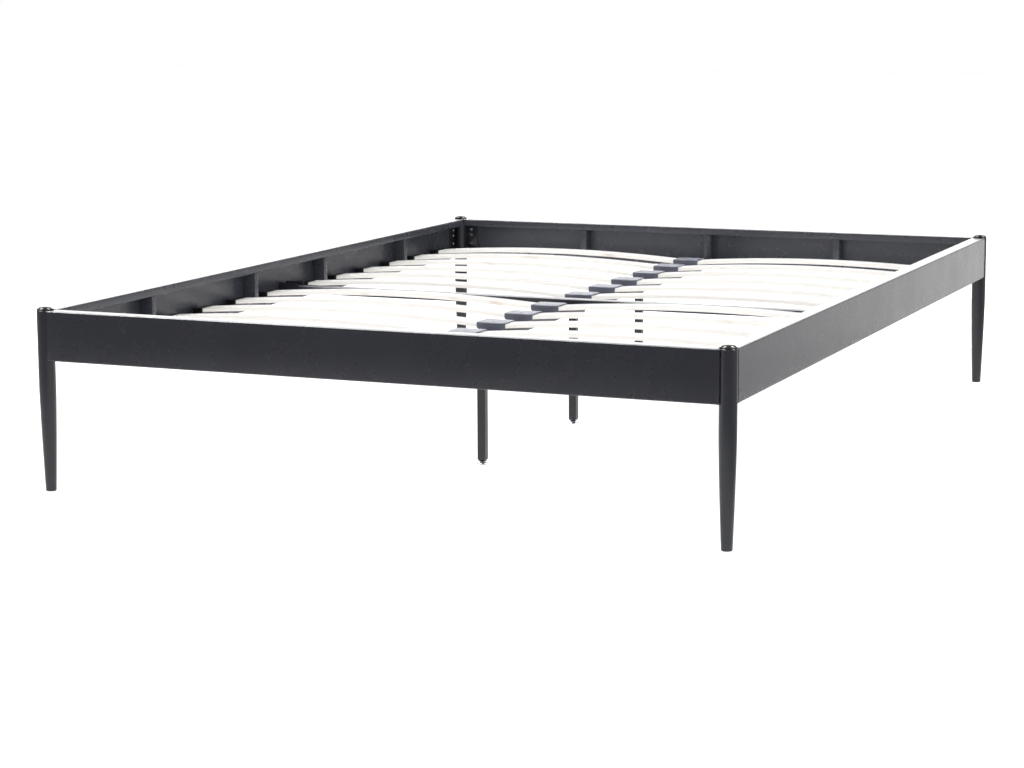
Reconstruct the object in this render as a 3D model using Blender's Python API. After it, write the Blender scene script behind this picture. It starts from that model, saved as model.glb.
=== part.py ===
"""Metal bed frame with sprung slats, built the way the real one goes together.

Metres, +Z up, +X to the right across the bed, +Y towards the head end.
The origin is on the floor, under the middle of the frame.
"""
import math

import bmesh
import bpy
import numpy as np
from mathutils import Matrix, Vector

# ---- the mattress the frame is made for -------------------------------------
MATTRESS_WIDTH = 1.400
MATTRESS_LENGTH = 2.000
MATTRESS_EASE = 0.0025          # air left on each side of the mattress
FIT = 0.0003                    # gap between pieces that touch
SLIDE_FIT = 0.0003              # gap around the threaded stem

# ---- rails -------------------------------------------------------------------
RAIL_TOP = 0.370
RAIL_HEIGHT = 0.101
RAIL_DEPTH = 0.033
RAIL_SHEET = 0.002
RAIL_BAND_HEIGHT = 0.018
RAIL_FOOT_HEIGHT = 0.015        # the tube along the bottom, which the slats sit on
RAIL_FACE_OFFSET = 0.0155       # outer face of a rail from the leg's axis
SHEET_TO_LEG = 0.0012           # the outer sheet stops this far short of the leg
SIDE_RIB_WIDTH = 0.017
END_RIB_WIDTH = 0.018
SIDE_RIB_SHARES = (-0.309, -0.0855, 0.0855, 0.309)   # of the leg spacing
END_RIB_SHARES = (-0.2434, 0.0, 0.2434)
RAIL_BOTTOM = RAIL_TOP - RAIL_HEIGHT
CUT_BEYOND = 0.010              # how far a cutter runs past what it cuts

# ---- corner legs -------------------------------------------------------------
LEG_RADIUS = 0.017
LEG_FOOT_RADIUS = 0.0107
LEG_TAPER_START = 0.215
LEG_TAPER_POWER = 1.36
LEG_WALL = 0.0015
LEG_FOOT_THICKNESS = 0.004
LEG_FOOT_ROUND = 0.0015
LEG_TOP = RAIL_TOP
LEG_SIDES = 24
LEG_TAPER_RINGS = 7
CAP_CROWN = 0.0082              # height of the cap above the tube
CAP_RIM = 0.0042
CAP_PLUG_LENGTH = 0.012
CAP_BEAD = 0.0016
CAP_BEAD_POINTS = 4
CAP_DOME_POINTS = 5

# ---- corner plates, welded to each leg and bolted to the rails ---------------
PLATE_THICKNESS = 0.003
PLATE_REACH = 0.045
PLATE_ROOT = 0.003              # how deep a plate runs into the tube's wall
PLATE_BOTTOM = RAIL_BOTTOM + RAIL_FOOT_HEIGHT + 0.003
PLATE_TOP = RAIL_TOP - RAIL_BAND_HEIGHT - 0.003

# ---- where the legs stand ----------------------------------------------------
LEG_INSET = RAIL_DEPTH - RAIL_FACE_OFFSET
LEG_SPACING_X = MATTRESS_WIDTH + 2 * MATTRESS_EASE + 2 * LEG_INSET
LEG_SPACING_Y = MATTRESS_LENGTH + 2 * MATTRESS_EASE + 2 * LEG_INSET
INNER_HALF_X = MATTRESS_WIDTH / 2 + MATTRESS_EASE
INNER_HALF_Y = MATTRESS_LENGTH / 2 + MATTRESS_EASE

# ---- crossbar, its saddles and the centre beam -------------------------------
SEAT_HEIGHT = 0.286             # top of the centre beam
CROSSBAR_WIDTH = 0.030
CROSSBAR_HEIGHT = 0.018
BEAM_WIDTH = 0.040
BEAM_HEIGHT = 0.018
TUBE_WALL = 0.0015
BRACKET_WALL = 0.002
BRACKET_LENGTH = 0.030
SADDLE_INWARD = 0.022           # how far a saddle reaches into the bed
SADDLE_OUTWARD = 0.026          # and how far over the rail's foot tube
SADDLE_TOP = 0.311

# ---- slats and their holders -------------------------------------------------
SLAT_ROWS_PER_HALF = 6
SLAT_WIDTH = 0.053
SLAT_THICKNESS = 0.008
SLAT_RISE = 0.0155
SLAT_END_TOP = 0.299            # top of a slat where it enters a holder
SLAT_INNER_END = 0.004          # end of a slat from the middle of the bed
SLAT_OUTER_REACH = 0.019        # end of a slat past the inside of the side rail
SLAT_STEPS = 12
FIRST_ROW_OFFSET = 0.102        # first row from the crossbar
LAST_ROW_GAP = 0.148            # last row from the inside of the end rail
HOLDER_HALF_LENGTH = 0.033
HOLDER_WALL = 0.003             # beside the slat
HOLDER_LID = 0.002              # above and below it
HOLDER_POCKET_END = 0.0035      # closed end of a pocket from the middle
HOLDER_BASE_HALF = 0.014

# ---- centre legs and their adjustable feet -----------------------------------
CENTRE_LEG_SIDE = 0.018
CENTRE_LEG_WALL = 0.0015
CENTRE_LEG_BOTTOM = 0.020
CENTRE_LEG_END_PLATE = 0.003
FLANGE_LENGTH = 0.060
FLANGE_WIDTH = 0.036
FLANGE_THICKNESS = 0.003
CENTRE_LEG_SHARES = (-0.2335, 0.0222, 0.2365)        # of the leg spacing
FOOT_REST_GAP = 0.008           # foot wound up, clear of the floor
FOOT_DISC_RADIUS = 0.0125
FOOT_DISC_HEIGHT = 0.0035
FOOT_NECK_RADIUS = 0.006
FOOT_NECK_HEIGHT = 0.002
STEM_RADIUS = 0.004
STEM_LENGTH = 0.045
FOOT_EDGE = 0.0008
FOOT_SIDES = 20


# ---- materials ---------------------------------------------------------------
def material(name, colour, roughness, metallic):
    mat = bpy.data.materials.new(name)
    mat.use_nodes = True
    shader = mat.node_tree.nodes["Principled BSDF"]
    shader.inputs["Base Color"].default_value = (*colour, 1.0)
    shader.inputs["Roughness"].default_value = roughness
    shader.inputs["Metallic"].default_value = metallic
    return mat


BLACK_COAT = (0.020, 0.021, 0.024)
HOLDER_GREY = (0.070, 0.078, 0.100)
BIRCH = (0.800, 0.740, 0.640)
ZINC = (0.620, 0.620, 0.630)


def leg_coat():
    return material("leg_powder_coat", BLACK_COAT, 0.42, 0.0)


def cap_coat():
    return material("cap_black_plastic", (0.018, 0.018, 0.020), 0.30, 0.0)


def rail_coat():
    return material("rail_powder_coat", BLACK_COAT, 0.40, 0.0)


def bar_coat():
    return material("bar_powder_coat", (0.022, 0.024, 0.034), 0.45, 0.0)


def slat_wood():
    return material("slat_birch", BIRCH, 0.50, 0.0)


def holder_plastic():
    return material("holder_plastic", HOLDER_GREY, 0.45, 0.0)


def centre_leg_coat():
    return material("centre_leg_powder_coat", (0.024, 0.025, 0.028), 0.42, 0.0)


def foot_zinc():
    return material("foot_zinc", ZINC, 0.28, 1.0)


# ---- building helpers --------------------------------------------------------
def mesh_from(name, bm):
    bmesh.ops.recalc_face_normals(bm, faces=bm.faces)
    mesh = bpy.data.meshes.new(name)
    bm.to_mesh(mesh)
    bm.free()
    return mesh


def place(name, mesh, mat, location=(0, 0, 0), turn=0.0):
    if not mesh.materials:
        mesh.materials.append(mat)
    obj = bpy.data.objects.new(name, mesh)
    bpy.context.collection.objects.link(obj)
    obj.location = location
    obj.rotation_euler = (0, 0, turn)
    return obj


def box_mesh(name, low, high):
    bm = bmesh.new()
    low = Vector(low)
    high = Vector(high)
    size = high - low
    bmesh.ops.create_cube(bm, size=1.0)
    bmesh.ops.scale(bm, vec=size, verts=bm.verts)
    bmesh.ops.translate(bm, vec=(low + high) / 2, verts=bm.verts)
    return mesh_from(name, bm)


def revolve(name, profile, sides):
    """Turn a profile of (radius, height) points, closed on the axis, about Z."""
    bm = bmesh.new()
    rings = []
    for radius, height in profile:
        if radius < 1e-6:
            rings.append([bm.verts.new((0, 0, height))])
            continue
        ring = []
        for k in range(sides):
            angle = 2 * math.pi * k / sides
            ring.append(bm.verts.new((radius * math.cos(angle), radius * math.sin(angle), height)))
        rings.append(ring)
    for below, above in zip(rings, rings[1:]):
        for k in range(sides):
            corners = [below[k % len(below)], below[(k + 1) % len(below)],
                       above[(k + 1) % len(above)], above[k % len(above)]]
            kept = list(dict.fromkeys(corners))
            bm.faces.new(kept)
    return mesh_from(name, bm)


def tube_mesh(name, outer, inner, start, end, axis):
    """A straight rectangular tube along one axis, open at both ends."""
    bm = bmesh.new()
    loops = []
    for half_a, half_b in (outer, inner):
        for along in (start, end):
            loop = []
            for sa, sb in ((-1, -1), (1, -1), (1, 1), (-1, 1)):
                if axis == "X":
                    loop.append(bm.verts.new((along, sa * half_a, sb * half_b)))
                elif axis == "Y":
                    loop.append(bm.verts.new((sa * half_a, along, sb * half_b)))
                else:
                    loop.append(bm.verts.new((sa * half_a, sb * half_b, along)))
            loops.append(loop)
    outer_start, outer_end, inner_start, inner_end = loops
    for first, second in ((outer_start, outer_end), (inner_start, inner_end),
                          (outer_start, inner_start), (outer_end, inner_end)):
        for k in range(4):
            after = (k + 1) % 4
            bm.faces.new((first[k], first[after], second[after], second[k]))
    return mesh_from(name, bm)


def joined(target, others, operation):
    """Union or difference of meshes, made with exact booleans and then applied."""
    base = bpy.data.objects.new("boolean_base", target)
    bpy.context.collection.objects.link(base)
    helpers = []
    for mesh in others:
        helper = bpy.data.objects.new("boolean_helper", mesh)
        bpy.context.collection.objects.link(helper)
        helpers.append(helper)
        step = base.modifiers.new("join", "BOOLEAN")
        step.operation = operation
        step.solver = "EXACT"
        step.object = helper
    bpy.context.view_layer.update()
    graph = bpy.context.evaluated_depsgraph_get()
    result = bpy.data.meshes.new_from_object(base.evaluated_get(graph))
    result.name = target.name
    bpy.data.objects.remove(base)
    for helper in helpers:
        bpy.data.objects.remove(helper)
    bm = bmesh.new()
    bm.from_mesh(result)
    bmesh.ops.remove_doubles(bm, verts=bm.verts, dist=1e-6)
    bmesh.ops.dissolve_limit(bm, angle_limit=math.radians(0.5), verts=bm.verts, edges=bm.edges)
    bmesh.ops.triangulate(bm, faces=[f for f in bm.faces if len(f.verts) > 4])
    bm.to_mesh(result)
    bm.free()
    return result


def smooth_rounds(mesh, angle):
    mesh.shade_smooth()
    mesh.set_sharp_from_angle(angle=math.radians(angle))


# ---- rails -------------------------------------------------------------------
def rail_mesh(name, leg_spacing, rib_shares, rib_width):
    """One rail, lying along X with its outer face towards -Y.

    An outer sheet, with a band along the top, a foot tube along the bottom
    and upright ribs between them, drawn inwards by the depth of the rail.
    """
    sheet_back = RAIL_FACE_OFFSET - RAIL_SHEET
    sheet_end = math.sqrt((LEG_RADIUS + SHEET_TO_LEG) ** 2 - sheet_back ** 2)
    sheet_half = leg_spacing / 2 - sheet_end
    inner_half = leg_spacing / 2 - max(LEG_RADIUS, LEG_INSET) - FIT
    cuts_x = [-sheet_half, -inner_half]
    for share in rib_shares:
        middle = share * leg_spacing
        cuts_x += [middle - rib_width / 2, middle + rib_width / 2]
    cuts_x += [inner_half, sheet_half]
    foot_top = RAIL_BOTTOM + RAIL_FOOT_HEIGHT
    band_bottom = RAIL_TOP - RAIL_BAND_HEIGHT
    cuts_z = [RAIL_BOTTOM, foot_top, band_bottom, RAIL_TOP]
    outer_y = -RAIL_FACE_OFFSET
    sheet_y = outer_y + RAIL_SHEET
    inner_y = outer_y + RAIL_DEPTH

    bm = bmesh.new()
    sheet = [[bm.verts.new((x, sheet_y, z)) for z in cuts_z] for x in cuts_x]
    raised = []
    flat = []
    for i in range(len(cuts_x) - 1):
        for k in range(len(cuts_z) - 1):
            face = bm.faces.new((sheet[i][k], sheet[i + 1][k], sheet[i + 1][k + 1], sheet[i][k + 1]))
            at_end = i in (0, len(cuts_x) - 2)
            is_rib = i % 2 == 0 and not at_end
            is_edge = k in (0, len(cuts_z) - 2)
            if not at_end and (is_rib or is_edge):
                raised.append(face)
            else:
                flat.append(face)
    border = [edge for edge in bm.edges if edge.is_boundary]
    front = bmesh.ops.extrude_edge_only(bm, edges=border)
    front_verts = [item for item in front["geom"] if isinstance(item, bmesh.types.BMVert)]
    bmesh.ops.translate(bm, vec=(0, -RAIL_SHEET, 0), verts=front_verts)
    rim = [item for item in front["geom"] if isinstance(item, bmesh.types.BMEdge) and item.is_boundary]
    bmesh.ops.contextual_create(bm, geom=rim)
    pushed = bmesh.ops.extrude_face_region(bm, geom=raised)
    pushed_verts = [item for item in pushed["geom"] if isinstance(item, bmesh.types.BMVert)]
    bmesh.ops.translate(bm, vec=(0, inner_y - sheet_y, 0), verts=pushed_verts)
    bmesh.ops.delete(bm, geom=raised, context="FACES")
    bmesh.ops.dissolve_limit(bm, angle_limit=math.radians(0.5), verts=bm.verts, edges=bm.edges)
    return mesh_from(name, bm)


def make_rails():
    coat = rail_coat()
    end_mesh = rail_mesh("end_rail", LEG_SPACING_X, END_RIB_SHARES, END_RIB_WIDTH)
    side_mesh = rail_mesh("side_rail", LEG_SPACING_Y, SIDE_RIB_SHARES, SIDE_RIB_WIDTH)
    half_x = LEG_SPACING_X / 2
    half_y = LEG_SPACING_Y / 2
    place("foot_rail", end_mesh, coat, (0, -half_y, 0))
    place("head_rail", end_mesh, coat, (0, half_y, 0), math.pi)
    place("right_rail", side_mesh, coat, (half_x, 0, 0), math.pi / 2)
    place("left_rail", side_mesh, coat, (-half_x, 0, 0), -math.pi / 2)


# ---- corner legs -------------------------------------------------------------
def leg_radius_at(height):
    """Radius of the leg's outside: straight at the top, easing in towards the foot."""
    if height >= LEG_TAPER_START:
        return LEG_RADIUS
    share = (LEG_TAPER_START - height) / LEG_TAPER_START
    return LEG_RADIUS - (LEG_RADIUS - LEG_FOOT_RADIUS) * share ** LEG_TAPER_POWER


def leg_mesh():
    heights = list(np.linspace(LEG_FOOT_ROUND, LEG_TAPER_START, LEG_TAPER_RINGS))
    outside = [(leg_radius_at(z), float(z)) for z in heights]
    bottom = [(0.0, 0.0), (LEG_FOOT_RADIUS - LEG_FOOT_ROUND, 0.0)]
    inside = []
    for z in heights[::-1]:
        if z > LEG_FOOT_THICKNESS:
            inside.append((leg_radius_at(z) - LEG_WALL, float(z)))
    floor_radius = leg_radius_at(LEG_FOOT_THICKNESS) - LEG_WALL
    inside += [(floor_radius, LEG_FOOT_THICKNESS), (0.0, LEG_FOOT_THICKNESS)]
    top = [(LEG_RADIUS, LEG_TOP), (LEG_RADIUS - LEG_WALL, LEG_TOP)]
    tube = revolve("corner_leg", bottom + outside + top + inside, LEG_SIDES)
    near = -RAIL_FACE_OFFSET + RAIL_SHEET + FIT
    far = near + PLATE_THICKNESS
    start = math.sqrt(LEG_RADIUS ** 2 - far ** 2) - PLATE_ROOT
    plates = [
        box_mesh("plate_x", (start, near, PLATE_BOTTOM), (PLATE_REACH, far, PLATE_TOP)),
        box_mesh("plate_y", (near, start, PLATE_BOTTOM), (far, PLATE_REACH, PLATE_TOP)),
    ]
    mesh = joined(tube, plates, "UNION")
    smooth_rounds(mesh, 35)
    return mesh


def cap_mesh():
    """Domed plug: a stem inside the tube, a beaded rim and a low dome."""
    plug = LEG_RADIUS - LEG_WALL - FIT
    seat = LEG_TOP + FIT
    profile = [(0.0, LEG_TOP - CAP_PLUG_LENGTH), (plug, LEG_TOP - CAP_PLUG_LENGTH), (plug, seat)]
    profile.append((LEG_RADIUS, seat))
    rim_centre = LEG_TOP + CAP_RIM - CAP_BEAD
    for k in range(CAP_BEAD_POINTS):
        angle = math.pi / 2 * k / (CAP_BEAD_POINTS - 1)
        profile.append((LEG_RADIUS - CAP_BEAD + CAP_BEAD * math.cos(angle),
                        rim_centre + CAP_BEAD * math.sin(angle)))
    dome_radius = LEG_RADIUS - 2 * CAP_BEAD
    dome_height = CAP_CROWN - CAP_RIM
    for k in range(CAP_DOME_POINTS):
        angle = math.pi / 2 * k / (CAP_DOME_POINTS - 1)
        profile.append((dome_radius * math.cos(angle),
                        LEG_TOP + CAP_RIM + dome_height * math.sin(angle)))
    profile[-1] = (0.0, LEG_TOP + CAP_CROWN)
    mesh = revolve("leg_cap", profile, LEG_SIDES)
    smooth_rounds(mesh, 40)
    return mesh


def make_corner_legs():
    coat = leg_coat()
    plastic = cap_coat()
    tube = leg_mesh()
    cap = cap_mesh()
    corners = (
        ("front_left", -1, -1, 0.0),
        ("front_right", 1, -1, math.pi / 2),
        ("back_right", 1, 1, math.pi),
        ("back_left", -1, 1, -math.pi / 2),
    )
    for name, side, end, turn in corners:
        spot = (side * LEG_SPACING_X / 2, end * LEG_SPACING_Y / 2, 0)
        place(f"{name}_leg", tube, coat, spot, turn)
        place(f"{name}_leg_cap", cap, plastic, spot)


# ---- crossbar, saddles and beam ----------------------------------------------
def saddle_mesh():
    """U-shaped saddle along X: its outer end sits on the foot tube of the rail at +X."""
    low = RAIL_BOTTOM + RAIL_FOOT_HEIGHT + FIT
    inner = CROSSBAR_WIDTH / 2 + FIT
    outer = inner + BRACKET_WALL
    start = -SADDLE_INWARD
    end = SADDLE_OUTWARD
    solid = box_mesh("saddle", (start, -outer, low), (end, outer, SADDLE_TOP))
    room = box_mesh("room", (start - CUT_BEYOND, -inner, SEAT_HEIGHT),
                    (end + CUT_BEYOND, inner, SADDLE_TOP + CUT_BEYOND))
    return joined(solid, [room], "DIFFERENCE")


def make_crossbar():
    half_y = CROSSBAR_WIDTH / 2
    half_z = CROSSBAR_HEIGHT / 2
    half_length = INNER_HALF_X + SADDLE_OUTWARD
    mesh = tube_mesh("crossbar", (half_y, half_z), (half_y - TUBE_WALL, half_z - TUBE_WALL),
                     -half_length, half_length, "X")
    coat = bar_coat()
    place("mid_crossbar", mesh, coat, (0, 0, SEAT_HEIGHT + FIT + half_z))
    saddle = saddle_mesh()
    place("right_crossbar_saddle", saddle, coat, (INNER_HALF_X, 0, 0))
    place("left_crossbar_saddle", saddle, coat, (-INNER_HALF_X, 0, 0), math.pi)


def bracket_mesh():
    """Saddle for the end of the beam: back plate at +Y, floor and two cheeks."""
    inner = BEAM_WIDTH / 2 + FIT
    outer = inner + BRACKET_WALL
    top = 0.0
    floor_top = -BEAM_HEIGHT - FIT
    floor = floor_top - BRACKET_WALL
    back = -BRACKET_WALL
    solid = box_mesh("beam_bracket", (-outer, -BRACKET_LENGTH, floor), (outer, 0, top))
    room = box_mesh("room", (-inner, -BRACKET_LENGTH - CUT_BEYOND, floor_top),
                    (inner, back, top + CUT_BEYOND))
    return joined(solid, [room], "DIFFERENCE")


def make_beam():
    coat = bar_coat()
    half_x = BEAM_WIDTH / 2
    half_z = BEAM_HEIGHT / 2
    bracket_back = INNER_HALF_Y - FIT
    half_length = bracket_back - BRACKET_WALL - FIT
    mesh = tube_mesh("beam", (half_x, half_z), (half_x - TUBE_WALL, half_z - TUBE_WALL),
                     -half_length, half_length, "Y")
    place("centre_beam", mesh, coat, (0, 0, SEAT_HEIGHT - half_z))
    bracket = bracket_mesh()
    place("head_beam_bracket", bracket, coat, (0, bracket_back, SEAT_HEIGHT))
    place("foot_beam_bracket", bracket, coat, (0, -bracket_back, SEAT_HEIGHT), math.pi)


# ---- slats and holders -------------------------------------------------------
def row_positions():
    last = INNER_HALF_Y - LAST_ROW_GAP
    pitch = (last - FIRST_ROW_OFFSET) / (SLAT_ROWS_PER_HALF - 1)
    back = [FIRST_ROW_OFFSET + pitch * k for k in range(SLAT_ROWS_PER_HALF)]
    return [-y for y in back[::-1]] + back


def slat_length():
    return INNER_HALF_X + SLAT_OUTER_REACH - SLAT_INNER_END


def slat_end_slope():
    radius = slat_length() ** 2 / (8 * SLAT_RISE) + SLAT_RISE / 2
    return math.asin(slat_length() / 2 / radius)


def slat_mesh():
    """One bowed slat along X, its underside at the ends on z = 0."""
    length = slat_length()
    radius = length ** 2 / (8 * SLAT_RISE) + SLAT_RISE / 2
    half_angle = slat_end_slope()
    angles = np.linspace(-half_angle, half_angle, SLAT_STEPS + 1)
    bm = bmesh.new()
    rings = []
    for angle in angles:
        ring = []
        for side, lift in ((-1, 0.0), (1, 0.0), (1, SLAT_THICKNESS), (-1, SLAT_THICKNESS)):
            reach = radius + lift
            x = reach * math.sin(angle)
            z = reach * math.cos(angle) - radius * math.cos(half_angle)
            ring.append(bm.verts.new((x, side * SLAT_WIDTH / 2, z)))
        rings.append(ring)
    for before, after in zip(rings, rings[1:]):
        for k in range(4):
            bm.faces.new((before[k], before[(k + 1) % 4], after[(k + 1) % 4], after[k]))
    bm.faces.new(rings[0])
    bm.faces.new(rings[-1])
    return mesh_from("slat", bm)


def holder_mesh():
    """Double slat holder along X, its base on z = 0, with a pocket for each slat."""
    slope = math.tan(slat_end_slope())
    pocket_half = SLAT_THICKNESS / 2 + 2 * FIT
    middle_z = SLAT_END_TOP - SLAT_THICKNESS / 2 - SEAT_HEIGHT - FIT
    wall = pocket_half + HOLDER_LID
    far = HOLDER_HALF_LENGTH
    rise = slope * far
    outline = (
        (-far, middle_z + rise - wall), (-HOLDER_BASE_HALF, 0.0), (HOLDER_BASE_HALF, 0.0),
        (far, middle_z + rise - wall), (far, middle_z + rise + wall), (-far, middle_z + rise + wall),
    )
    half_width = SLAT_WIDTH / 2 + FIT + HOLDER_WALL
    bm = bmesh.new()
    face = bm.faces.new([bm.verts.new((x, -half_width, z)) for x, z in outline])
    pushed = bmesh.ops.extrude_face_region(bm, geom=[face])
    moved = [item for item in pushed["geom"] if isinstance(item, bmesh.types.BMVert)]
    bmesh.ops.translate(bm, vec=(0, 2 * half_width, 0), verts=moved)
    body = mesh_from("slat_holder", bm)
    reach = HOLDER_HALF_LENGTH + CUT_BEYOND
    engaged = HOLDER_HALF_LENGTH - SLAT_INNER_END
    pocket_slope = slat_end_slope() * (1 - engaged / slat_length())
    pockets = []
    for side in (-1, 1):
        pocket = box_mesh("pocket", (0, -SLAT_WIDTH / 2 - FIT, -pocket_half),
                          (reach, SLAT_WIDTH / 2 + FIT, pocket_half))
        tilt = Matrix.Rotation(-pocket_slope, 4, "Y")
        flip = Matrix.Rotation(0 if side > 0 else math.pi, 4, "Z")
        start = Vector((side * HOLDER_POCKET_END, 0, middle_z))
        pocket.transform(Matrix.Translation(start) @ flip @ tilt)
        pockets.append(pocket)
    return joined(body, pockets, "DIFFERENCE")


def make_slats():
    wood = slat_wood()
    plastic = holder_plastic()
    slat = slat_mesh()
    holder = holder_mesh()
    half_slat = SLAT_INNER_END + slat_length() / 2
    underside = SLAT_END_TOP - SLAT_THICKNESS
    for number, y in enumerate(row_positions(), start=1):
        place(f"left_slat_{number:02d}", slat, wood, (-half_slat, y, underside))
        place(f"right_slat_{number:02d}", slat, wood, (half_slat, y, underside))
        place(f"slat_holder_{number:02d}", holder, plastic, (0, y, SEAT_HEIGHT + FIT))


# ---- centre legs -------------------------------------------------------------
def centre_leg_mesh():
    """Square tube with a mounting flange on top and a threaded end plate below."""
    top = SEAT_HEIGHT - BEAM_HEIGHT - FIT
    half = CENTRE_LEG_SIDE / 2
    bore = half - CENTRE_LEG_WALL
    tube = box_mesh("centre_leg", (-half, -half, CENTRE_LEG_BOTTOM), (half, half, top - FLANGE_THICKNESS / 2))
    flange = box_mesh("flange", (-FLANGE_WIDTH / 2, -FLANGE_LENGTH / 2, top - FLANGE_THICKNESS),
                      (FLANGE_WIDTH / 2, FLANGE_LENGTH / 2, top))
    shell = joined(tube, [flange], "UNION")
    hollow = box_mesh("hollow", (-bore, -bore, CENTRE_LEG_BOTTOM + CENTRE_LEG_END_PLATE),
                      (bore, bore, top + CUT_BEYOND))
    hole_radius = STEM_RADIUS + SLIDE_FIT
    hole = revolve("hole", [(0.0, CENTRE_LEG_BOTTOM - CUT_BEYOND), (hole_radius, CENTRE_LEG_BOTTOM - CUT_BEYOND),
                            (hole_radius, CENTRE_LEG_BOTTOM + CUT_BEYOND), (0.0, CENTRE_LEG_BOTTOM + CUT_BEYOND)],
                   FOOT_SIDES)
    return joined(shell, [hollow, hole], "DIFFERENCE")


def foot_mesh():
    """Round glide with a neck and a stem, its underside on z = 0."""
    edge = FOOT_EDGE
    disc_top = FOOT_DISC_HEIGHT
    neck_top = disc_top + FOOT_NECK_HEIGHT
    profile = [
        (0.0, 0.0), (FOOT_DISC_RADIUS - edge, 0.0), (FOOT_DISC_RADIUS, edge),
        (FOOT_DISC_RADIUS, disc_top - 2 * edge), (FOOT_DISC_RADIUS - 2 * edge, disc_top - edge / 2),
        (FOOT_NECK_RADIUS, disc_top), (FOOT_NECK_RADIUS, neck_top), (STEM_RADIUS, neck_top),
        (STEM_RADIUS, neck_top + STEM_LENGTH - edge), (STEM_RADIUS - edge, neck_top + STEM_LENGTH),
        (0.0, neck_top + STEM_LENGTH),
    ]
    mesh = revolve("adjustable_foot", profile, FOOT_SIDES)
    smooth_rounds(mesh, 35)
    return mesh


def make_centre_legs():
    coat = centre_leg_coat()
    zinc = foot_zinc()
    leg = centre_leg_mesh()
    foot = foot_mesh()
    for name, share in zip(("front", "middle", "back"), CENTRE_LEG_SHARES):
        y = share * LEG_SPACING_Y
        place(f"{name}_centre_leg", leg, coat, (0, y, 0))
        place(f"{name}_adjustable_foot", foot, zinc, (0, y, FOOT_REST_GAP))


for leftover in list(bpy.data.objects):
    bpy.data.objects.remove(leftover)
make_rails()
make_corner_legs()
make_crossbar()
make_beam()
make_slats()
make_centre_legs()
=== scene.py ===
# %% [markdown]
# # A metal bed frame with sprung slats
#
# The frame is loaded first, as the CAD model packed it: rails, legs, bars, slats and feet, each a named
# node in metres, +Z up, with the head end at +Y. Every finished piece below is worked out from those
# nodes' boxes, so the lesson is about shape and finish, never about fitting.

# %% Load the frame
import math

import bmesh
import bpy
import numpy as np
from mathutils import Matrix, Vector


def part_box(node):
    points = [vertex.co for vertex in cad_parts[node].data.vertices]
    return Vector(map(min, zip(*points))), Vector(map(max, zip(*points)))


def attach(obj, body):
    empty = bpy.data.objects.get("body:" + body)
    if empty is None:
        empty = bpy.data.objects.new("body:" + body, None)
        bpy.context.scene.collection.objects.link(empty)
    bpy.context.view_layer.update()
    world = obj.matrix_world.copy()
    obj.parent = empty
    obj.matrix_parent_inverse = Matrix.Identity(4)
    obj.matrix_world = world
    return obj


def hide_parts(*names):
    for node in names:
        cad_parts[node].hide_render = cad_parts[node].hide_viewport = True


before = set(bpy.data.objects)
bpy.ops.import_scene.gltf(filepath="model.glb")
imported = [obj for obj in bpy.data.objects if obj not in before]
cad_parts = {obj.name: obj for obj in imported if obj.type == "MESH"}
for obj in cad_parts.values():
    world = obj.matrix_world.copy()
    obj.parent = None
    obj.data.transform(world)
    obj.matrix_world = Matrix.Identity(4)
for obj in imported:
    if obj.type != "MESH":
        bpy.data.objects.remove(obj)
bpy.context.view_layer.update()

# %% [markdown]
# ## Turning grids of points into pieces
#
# A bed frame is nearly all "a section carried along a line": a folded rail, a drawn tube, a bent slat, a
# turned leg. So one helper skins a grid of points, ring after ring, and closes it. A corner of a section
# is never perfectly sharp on the real thing, so a second helper swaps each corner for a small curve. One
# could also model a box and bevel it by hand, but a formula keeps every radius a number to change.

# %% Skins, rounded outlines and finished pieces
def skin(grid, closed_round=True, ends=True):
    """Quads between neighbouring rings of grid[ring, point]; the first and last ring closed by one face."""
    grid = np.asarray(grid, float)
    rings, around = grid.shape[:2]
    index = np.arange(rings * around).reshape(rings, around)
    if closed_round:
        near, far = index, np.roll(index, -1, axis=1)
    else:
        near, far = index[:, :-1], index[:, 1:]
    faces = np.stack([near[:-1], far[:-1], far[1:], near[1:]], axis=-1).reshape(-1, 4).tolist()
    if ends:
        faces += [index[0][::-1].tolist(), index[-1].tolist()]
    return grid.reshape(-1, 3), faces


def together(*shapes):
    """Several skins as one list of points and faces."""
    points, faces, start = [], [], 0
    for some_points, some_faces in shapes:
        points.append(some_points)
        faces += [[k + start for k in face] for face in some_faces]
        start += len(some_points)
    return np.concatenate(points), faces


def rounded(corners, radii, steps=5):
    """A polygon whose corners are quadratic curves: (1-t)^2 A + 2t(1-t) C + t^2 B, from a point A short
    of the corner C to a point B past it."""
    corners = np.asarray(corners, float)
    radii = np.broadcast_to(np.asarray(radii, float), len(corners))[:, None]
    back = np.roll(corners, 1, axis=0) - corners
    onward = np.roll(corners, -1, axis=0) - corners
    back /= np.maximum(np.linalg.norm(back, axis=1, keepdims=True), 1e-9)
    onward /= np.maximum(np.linalg.norm(onward, axis=1, keepdims=True), 1e-9)
    t = np.linspace(0, 1, steps)[None, :, None]
    start = (corners + back * radii)[:, None]
    end = (corners + onward * radii)[:, None]
    curve = (1 - t) ** 2 * start + 2 * t * (1 - t) * corners[:, None] + t ** 2 * end
    return curve.reshape(-1, 2)


def rectangle(low, high):
    return [(low[0], low[1]), (high[0], low[1]), (high[0], high[1]), (low[0], high[1])]


def turned(profile, sides=64):
    """A turned form: ring k is the circle of radius r_k at height z_k. Radii of zero close the poles."""
    profile = np.asarray(profile, float)
    angle = np.linspace(0, 2 * math.pi, sides, endpoint=False)[None, :]
    radius, height = profile[:, :1], profile[:, 1:]
    grid = np.stack([radius * np.cos(angle), radius * np.sin(angle), height + 0 * angle], axis=-1)
    return skin(grid, ends=False)


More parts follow.
